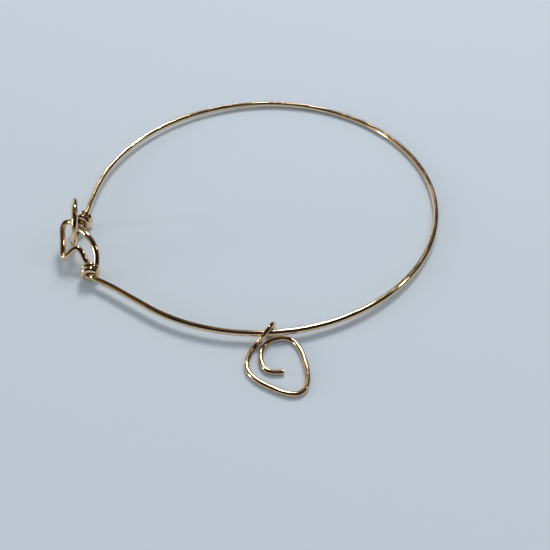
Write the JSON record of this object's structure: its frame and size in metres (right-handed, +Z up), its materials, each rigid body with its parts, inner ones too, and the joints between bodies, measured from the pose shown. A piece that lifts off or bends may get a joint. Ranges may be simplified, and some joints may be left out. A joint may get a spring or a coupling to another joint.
{
  "type": "wire bangle bracelet with a spiral charm",
  "caption": "Round bangle bent from one gold-coloured wire, closed by a wrapped hook in an upright wrapped eye, with a spiral wire charm on it.",
  "frame": {"origin": "middle of the bangle's round opening, on the surface that the bracelet lies on", "axes": "+Z up through the opening, as the wrist goes; -Y towards the charm; -X towards the clasp"},
  "size_m": [0.0687, 0.0766, 0.0093],
  "materials": {
    "bangle_gold": "polished, with fine lines along the drawn wire",
    "charm_gold": "polished, with fine lines along the drawn wire"
  },
  "bodies": {
    "root": {"bangle_wire": "bangle_gold", "charm_wire": "charm_gold"}
  },
  "joints": []
}
